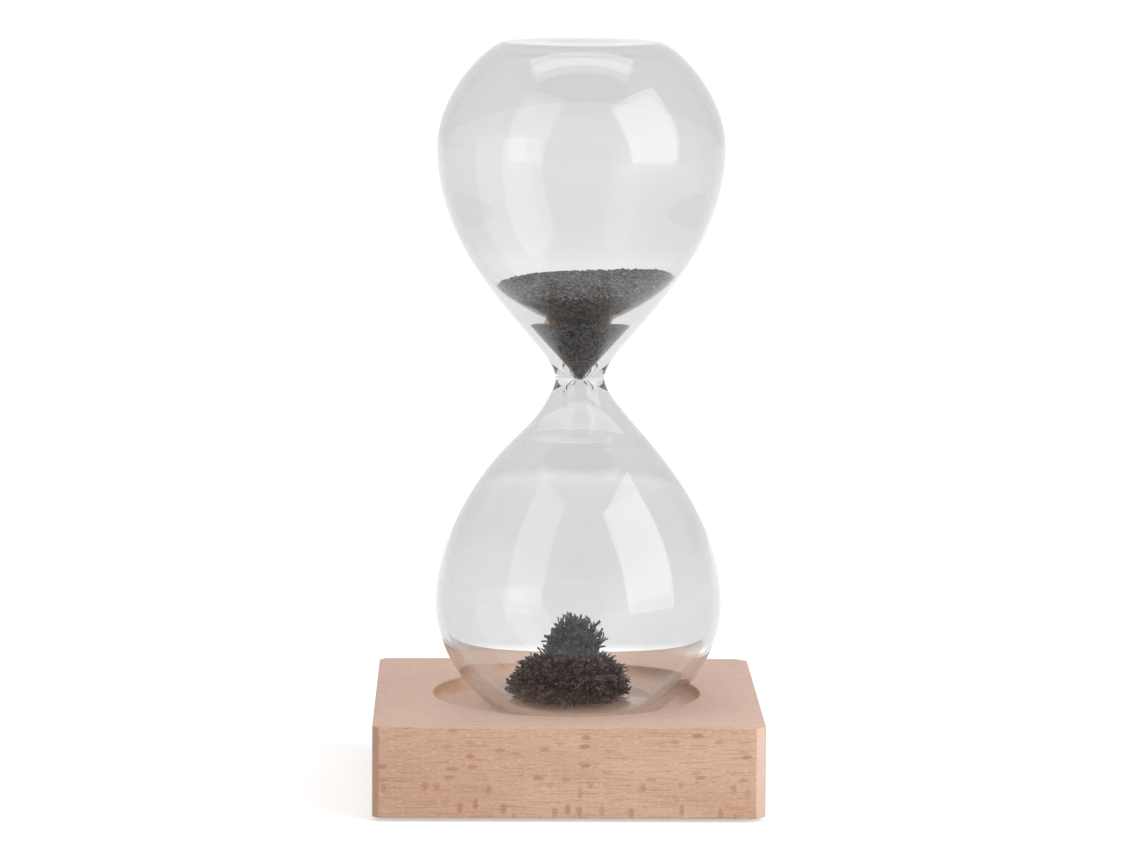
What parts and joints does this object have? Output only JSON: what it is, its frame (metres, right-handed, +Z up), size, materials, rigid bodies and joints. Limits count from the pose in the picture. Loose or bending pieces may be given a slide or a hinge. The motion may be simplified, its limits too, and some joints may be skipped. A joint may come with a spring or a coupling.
{
  "type": "magnetic hourglass",
  "caption": "Desk hourglass: a blown glass vessel with iron powder stands loose in a turned recess of a beech block, whose hidden magnet raises the powder in a spiky mound.",
  "frame": {"origin": "the centre of the underside of the felt, on the desk", "axes": "+Z is up, along the vessel; -Y is the front of the block and +X its right, both square to the block's sides"},
  "size_m": [0.08, 0.08, 0.1561],
  "materials": {
    "beech": "matte",
    "magnet": "matte",
    "glue": "gloss",
    "felt": "matte",
    "glass": "polished",
    "iron_powder": "matte"
  },
  "bodies": {
    "block": {"base_block": "beech", "magnet_disc": "magnet", "magnet_glue": "glue", "magnet_pocket_plug": "beech", "felt_pad": "felt"},
    "lower_powder": {"iron_spike_mound": "iron_powder"},
    "upper_powder": {"iron_powder_heap": "iron_powder"},
    "vessel": {"lower_glass_bulb": "glass", "upper_glass_bulb": "glass", "fill_port_seal": "glass"}
  },
  "joints": [
    {"name": "vessel_lift", "type": "slide", "parent": "block", "child": "lower_powder", "axis": [0, 0, 1], "range_m": [0, 0.12]},
    {"name": "vessel_turn", "type": "hinge", "parent": "lower_powder", "child": "upper_powder", "pos_m": [0.0024, 0, 0.0861], "axis": [0, 0, 1], "continuous": true},
    {"name": "vessel_flip", "type": "hinge", "parent": "upper_powder", "child": "vessel", "pos_m": [0.0024, 0, 0.0861], "axis": [1, 0, 0], "range_deg": [0, 180], "deforming": ["iron_powder_heap", "iron_spike_mound"]}
  ],
  "couplings": [
    {"joint": "vessel_flip", "follows": "vessel_lift", "rad_per_m": 26.18}
  ]
}
